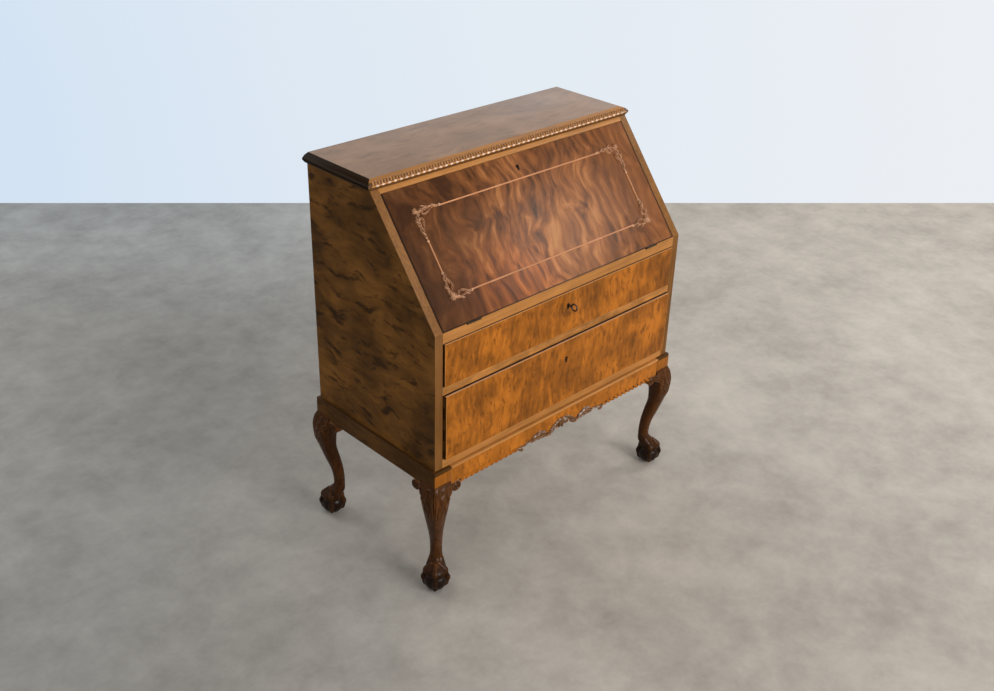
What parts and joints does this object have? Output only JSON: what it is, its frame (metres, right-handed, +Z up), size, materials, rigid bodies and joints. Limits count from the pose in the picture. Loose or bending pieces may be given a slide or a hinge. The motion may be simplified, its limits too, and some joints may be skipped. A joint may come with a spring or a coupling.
{
  "type": "slant-front escritoire",
  "caption": "Slant-front escritoire: hinged writing fall with carved bead frame, long lockable drawers, fitted inside, on a carved cabriole stand with ball-and-claw feet.",
  "frame": {"origin": "on the floor under the middle of the case", "axes": "+X to the right seen from the front, +Y to the back, +Z up"},
  "size_m": [0.9422, 0.527, 1.071],
  "materials": {
    "case_veneer": "figured birch veneer, satin varnish",
    "front_veneer": "burr birch veneer, satin varnish",
    "fall_veneer": "flame figured veneer, satin varnish",
    "edging": "straight grained birch edging, satin varnish",
    "carved_wood": "carved and gilded brown, satin",
    "leg_wood": "stained carved beech, satin varnish",
    "inner_wood": "bare pale birch",
    "brass": "aged brass",
    "iron": "dark iron"
  },
  "bodies": {
    "case": {"apron_bead": "edging", "apron_carving": "carved_wood", "back_apron": "case_veneer", "back_left_leg": "leg_wood", "back_panel": "inner_wood", "back_right_leg": "leg_wood", "bottom_board": "edging", "corner_blocks": "inner_wood", "drawer_runners": "inner_wood", "drawer_stops": "inner_wood", "front_apron": "front_veneer", "front_left_leg": "leg_wood", "front_right_leg": "leg_wood", "gadroon_edge": "carved_wood", "gallery_dividers": "inner_wood", "gallery_shelf": "inner_wood", "hinge_case_leaves": "brass", "hinge_pins": "brass", "knee_brackets": "leg_wood", "left_apron": "case_veneer", "left_side": "case_veneer", "middle_rail": "edging", "right_apron": "case_veneer", "right_side": "case_veneer", "stand_screws": "iron", "stay_case_brackets": "brass", "top_board": "case_veneer", "top_rail": "edging", "writing_board": "edging"},
    "fall": {"fall_panel": "fall_veneer", "fall_bead_frame": "carved_wood", "fall_corner_carvings": "carved_wood", "hinge_fall_leaves": "brass", "fall_lock": "iron", "fall_escutcheon": "brass", "stay_fall_brackets": "brass"},
    "fall_bolt": {"fall_bolt": "iron"},
    "stay_case_arms": {"stay_case_arms": "brass"},
    "stay_fall_arms": {"stay_fall_arms": "brass"},
    "upper_drawer": {"upper_drawer_front": "front_veneer", "upper_drawer_sides": "inner_wood", "upper_drawer_back": "inner_wood", "upper_drawer_bottom": "inner_wood", "upper_drawer_lock": "iron", "upper_drawer_escutcheon": "brass"},
    "upper_bolt": {"upper_drawer_bolt": "iron"},
    "upper_key": {"key": "iron"},
    "lower_drawer": {"lower_drawer_front": "front_veneer", "lower_drawer_sides": "inner_wood", "lower_drawer_back": "inner_wood", "lower_drawer_bottom": "inner_wood", "lower_drawer_lock": "iron", "lower_drawer_escutcheon": "brass"},
    "lower_bolt": {"lower_drawer_bolt": "iron"},
    "inner_left_drawer": {"inner_left_drawer_front": "inner_wood", "inner_left_drawer_tray": "inner_wood", "inner_left_drawer_knob": "brass"},
    "inner_right_drawer": {"inner_right_drawer_front": "inner_wood", "inner_right_drawer_tray": "inner_wood", "inner_right_drawer_knob": "brass"}
  },
  "joints": [
    {"name": "fall_hinge", "type": "hinge", "parent": "case", "child": "fall", "pos_m": [0, -0.235, 0.76], "axis": [1, 0, 0], "range_deg": [0, 128.28]},
    {"name": "stay_case_turn", "type": "hinge", "parent": "case", "child": "stay_case_arms", "pos_m": [0, -0.14488, 0.7893], "axis": [1, 0, 0], "range_deg": [0, 170.71]},
    {"name": "stay_fall_turn", "type": "hinge", "parent": "fall", "child": "stay_fall_arms", "pos_m": [0, -0.15088, 0.8193], "axis": [1, 0, 0], "range_deg": [-119.28, 0]},
    {"name": "fall_bolt_slide", "type": "slide", "parent": "fall", "child": "fall_bolt", "axis": [0, 0.6195, 0.785], "range_m": [0, 0.008]},
    {"name": "upper_drawer_slide", "type": "slide", "parent": "case", "child": "upper_drawer", "axis": [0, -1, 0], "range_m": [-0.004, 0.3]},
    {"name": "key_turn", "type": "hinge", "parent": "upper_drawer", "child": "upper_key", "pos_m": [0, -0.239, 0.6935], "axis": [0, 1, 0], "range_deg": [0, 180]},
    {"name": "upper_bolt_slide", "type": "slide", "parent": "upper_drawer", "child": "upper_bolt", "axis": [0, 0, 1], "range_m": [0, 0.008]},
    {"name": "lower_drawer_slide", "type": "slide", "parent": "case", "child": "lower_drawer", "axis": [0, -1, 0], "range_m": [-0.009, 0.3]},
    {"name": "lower_bolt_slide", "type": "slide", "parent": "lower_drawer", "child": "lower_bolt", "axis": [0, 0, 1], "range_m": [0, 0.008]},
    {"name": "inner_left_drawer_slide", "type": "slide", "parent": "case", "child": "inner_left_drawer", "axis": [0, -1, 0], "range_m": [0, 0.14]},
    {"name": "inner_right_drawer_slide", "type": "slide", "parent": "case", "child": "inner_right_drawer", "axis": [0, -1, 0], "range_m": [0, 0.14]}
  ],
  "couplings": [
    {"joint": "stay_case_turn", "follows": "fall_hinge", "ratio": 1.3307},
    {"joint": "stay_fall_turn", "follows": "fall_hinge", "ratio": -0.92982},
    {"joint": "upper_bolt_slide", "follows": "key_turn", "m_per_rad": 0.0025465}
  ]
}
